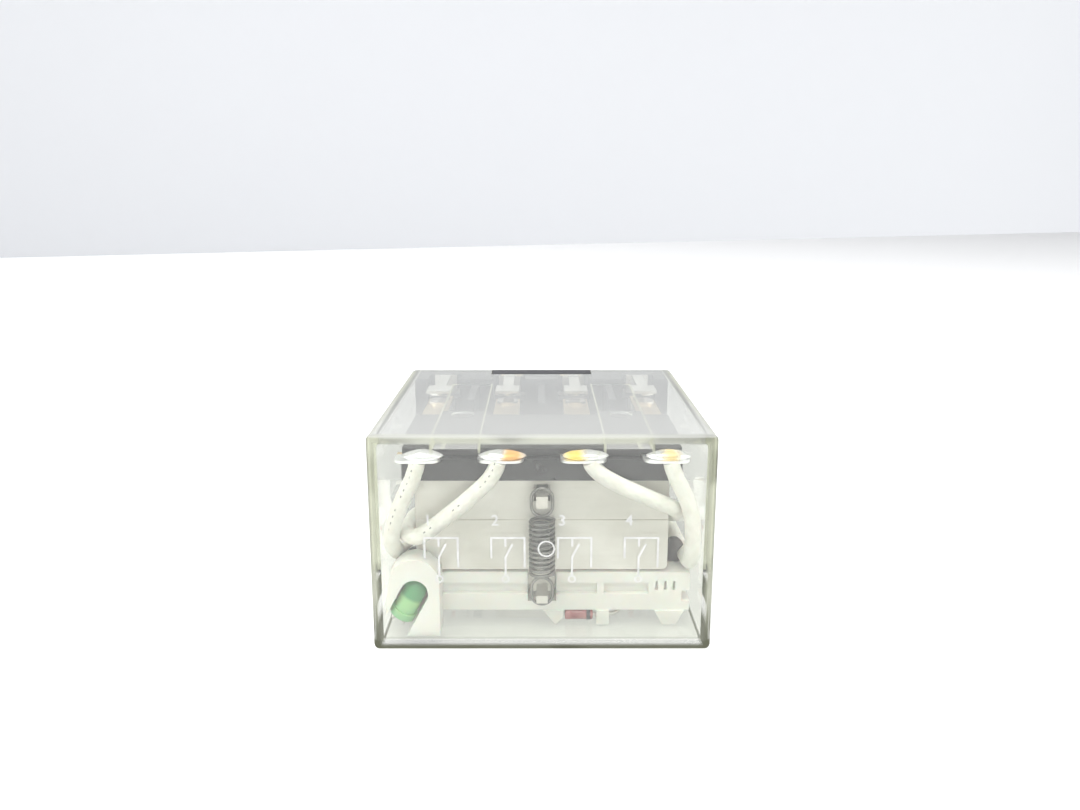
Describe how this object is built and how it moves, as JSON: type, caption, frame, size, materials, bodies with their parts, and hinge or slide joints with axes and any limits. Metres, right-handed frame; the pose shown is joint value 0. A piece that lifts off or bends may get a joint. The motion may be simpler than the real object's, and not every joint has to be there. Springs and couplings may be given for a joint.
{
  "type": "plug-in control relay",
  "caption": "Plug-in power relay with change-over contacts, hinged armature, coil, indicator lamp and clear pull-off cover.",
  "frame": {"origin": "middle of the base's seating plane, where the blades leave it", "axes": "+Y along the blades into the socket, -Y out through the cover's face, X along the row of poles, +Z towards the contacts"},
  "size_m": [0.0414, 0.0424, 0.0274],
  "materials": {
    "clear_cover": "clear polycarbonate, polished",
    "base_black": "black glass-filled moulding, fine matt",
    "plated_steel": "nickel-plated soft iron",
    "core_steel": "ground soft iron",
    "bobbin_white": "white nylon moulding",
    "copper_wire": "enamelled copper, close wound",
    "coil_tape": "dark insulating tape",
    "terminal_plating": "tinned brass",
    "leaf_bronze": "phosphor bronze",
    "contact_silver": "silver alloy",
    "solder": "bright solder",
    "block_black": "black phenolic, fine matt",
    "armature_steel": "nickel-plated soft iron, dull",
    "spring_wire": "bright spring steel",
    "front_white": "cream-white moulding",
    "led_green": "tinted translucent epoxy",
    "tinned_wire": "tinned wire",
    "diode_glass": "glass body with a dark band",
    "resistor_body": "lacquered body",
    "coil_lead": "thin red insulation",
    "lead_sleeve": "cream sleeve over stranded wire"
  },
  "bodies": {
    "base": {"base_moulding": "base_black", "yoke": "plated_steel", "core": "core_steel", "bobbin": "bobbin_white", "winding": "copper_wire", "coil_tape": "coil_tape", "no_terminal_1": "terminal_plating", "nc_terminal_1": "terminal_plating", "com_terminal_1": "terminal_plating", "no_terminal_2": "terminal_plating", "nc_terminal_2": "terminal_plating", "com_terminal_2": "terminal_plating", "no_terminal_3": "terminal_plating", "nc_terminal_3": "terminal_plating", "com_terminal_3": "terminal_plating", "no_terminal_4": "terminal_plating", "nc_terminal_4": "terminal_plating", "com_terminal_4": "terminal_plating", "coil_terminal_1": "terminal_plating", "coil_terminal_2": "terminal_plating", "no_contacts": "contact_silver", "nc_contacts": "contact_silver", "return_spring": "spring_wire", "front_moulding": "front_white", "led": "led_green", "led_legs": "tinned_wire", "diode": "diode_glass", "diode_leads": "tinned_wire", "resistor": "resistor_body", "resistor_leads": "tinned_wire", "coil_lead_1": "coil_lead", "coil_lead_2": "coil_lead", "lead_1": "lead_sleeve", "lead_2": "lead_sleeve", "lead_3": "lead_sleeve", "lead_4": "lead_sleeve"},
    "armature": {"armature": "armature_steel", "moving_block": "block_black", "moving_contacts": "contact_silver", "solder_joints": "solder", "moving_leaf_1": "leaf_bronze", "moving_leaf_2": "leaf_bronze", "moving_leaf_3": "leaf_bronze", "moving_leaf_4": "leaf_bronze"},
    "cover": {"cover": "clear_cover"}
  },
  "joints": [
    {"name": "armature_swing", "type": "hinge", "parent": "base", "child": "armature", "pos_m": [0, -0.03, 0.0058], "axis": [1, 0, 0], "range_deg": [0, 2.85], "stiffness_Nm_per_rad": 0.02, "springref_deg": -11.46, "deforming": ["return_spring", "lead_1", "lead_2", "lead_3", "lead_4"]},
    {"name": "cover_pull", "type": "slide", "parent": "base", "child": "cover", "axis": [0, -1, 0], "range_m": [0, 0.045]}
  ]
}
